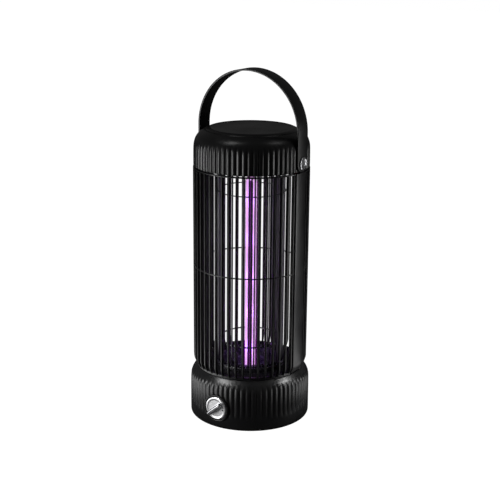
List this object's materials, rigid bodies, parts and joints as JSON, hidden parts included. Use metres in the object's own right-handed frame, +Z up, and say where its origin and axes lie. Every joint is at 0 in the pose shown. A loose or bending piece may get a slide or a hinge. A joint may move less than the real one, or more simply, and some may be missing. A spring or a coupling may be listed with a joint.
{
  "type": "electric bug zapper",
  "caption": "Lantern-shaped electric insect killer with a slotted guard, violet lamp inside a wire grid, fluted base and cap, rotary switch and swinging carry handle.",
  "frame": {"origin": "centre of the foot pad's underside, where the lantern rests", "axes": "+Z up along the lantern's axis; -Y is the front with the rotary switch, +X and -X carry the handle pivots, +Y is the rear with the charging port"},
  "size_m": [0.1264, 0.1332, 0.3664],
  "materials": {
    "black_shell": "satin",
    "black_guard": "satin",
    "black_strap": "satin",
    "black_rubber": "matte",
    "inner_plastic": "matte",
    "chrome_trim": "polished",
    "grid_steel": "satin",
    "screw_steel": "satin",
    "insulator": "matte",
    "lamp_glass": "glowing",
    "board": "satin",
    "cell_wrap": "satin",
    "ferrite": "matte",
    "lead": "satin"
  },
  "bodies": {
    "housing": {"base_shell": "black_shell", "battery_cell_1": "cell_wrap", "battery_cell_2": "cell_wrap", "battery_cradle": "inner_plastic", "bottom_cover": "black_shell", "cage_front": "black_guard", "cage_rear": "black_guard", "cap_floor": "inner_plastic", "cap_lid": "black_shell", "cap_screw_left": "screw_steel", "cap_screw_right": "screw_steel", "cap_shell": "black_shell", "charge_board": "board", "circuit_board": "board", "cover_screw_1": "screw_steel", "cover_screw_2": "screw_steel", "cover_screw_3": "screw_steel", "cover_screw_4": "screw_steel", "deck_screw_left": "screw_steel", "deck_screw_right": "screw_steel", "filter_capacitor": "ferrite", "flap_pin": "screw_steel", "grid_live": "grid_steel", "grid_neutral": "grid_steel", "hv_transformer": "ferrite", "insect_tray": "black_guard", "knob_bezel": "black_shell", "lamp_socket": "insulator", "lamp_stop": "black_rubber", "lamp_tube": "lamp_glass", "lower_grid_seat": "insulator", "pillar_left": "black_guard", "pillar_right": "black_guard", "pivot_nut_left": "screw_steel", "pivot_nut_right": "screw_steel", "pivot_rivet_left": "chrome_trim", "pivot_rivet_right": "chrome_trim", "rotary_switch": "inner_plastic", "rubber_pad": "black_rubber", "top_lead": "lead", "upper_grid_seat": "insulator", "usb_socket": "screw_steel"},
    "handle": {"handle_strap": "black_strap"},
    "knob": {"switch_knob": "chrome_trim", "knob_mark": "inner_plastic", "switch_shaft": "screw_steel"},
    "flap": {"port_flap": "black_rubber"}
  },
  "joints": [
    {"name": "handle_swing", "type": "hinge", "parent": "housing", "child": "handle", "pos_m": [0, 0, 0.2769], "axis": [1, 0, 0], "range_deg": [-90, 90]},
    {"name": "knob_turn", "type": "hinge", "parent": "housing", "child": "knob", "pos_m": [0, -0.064, 0.0222], "axis": [0, 1, 0], "range_deg": [0, 270]},
    {"name": "port_flap_hinge", "type": "hinge", "parent": "housing", "child": "flap", "pos_m": [0, 0.0609, 0.0153], "axis": [-1, 0, 0], "range_deg": [0, 95]}
  ]
}
